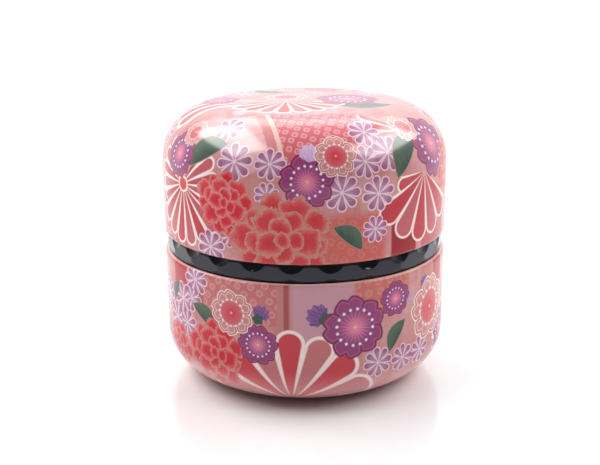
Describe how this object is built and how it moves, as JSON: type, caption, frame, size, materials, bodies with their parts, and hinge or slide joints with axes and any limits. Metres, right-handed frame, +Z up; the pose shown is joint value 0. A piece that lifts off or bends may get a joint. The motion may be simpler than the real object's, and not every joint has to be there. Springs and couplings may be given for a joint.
{
  "type": "round tea caddy",
  "caption": "Round printed tinplate tea caddy with domed lift-off lid, black faceted band at the joint and a press-in inner lid with a knob.",
  "frame": {"origin": "centre of the base, at the level of the surface that the caddy stands on", "axes": "+Z up along the axis of the caddy; -Y is the front face of the print"},
  "size_m": [0.082, 0.082, 0.08],
  "materials": {
    "printed_tin": "glossy clear varnish over an all-over flower print in salmon, red, pink and purple; bare lacquered tinplate inside",
    "bright_tin": "bright tinplate, fine drawn marks round the axis",
    "black_gloss": "black, high gloss"
  },
  "bodies": {
    "caddy_body": {"body_shell": "printed_tin", "neck_sleeve": "bright_tin", "collar_band": "black_gloss"},
    "inner_lid": {"inner_lid_pan": "bright_tin", "inner_lid_knob": "black_gloss"},
    "lid": {"lid_shell": "printed_tin"}
  },
  "joints": [
    {"name": "lid_lift", "type": "slide", "parent": "caddy_body", "child": "lid", "axis": [0, 0, 1], "range_m": [0, 0.045]},
    {"name": "inner_lid_lift", "type": "slide", "parent": "caddy_body", "child": "inner_lid", "axis": [0, 0, 1], "range_m": [0, 0.014]}
  ]
}
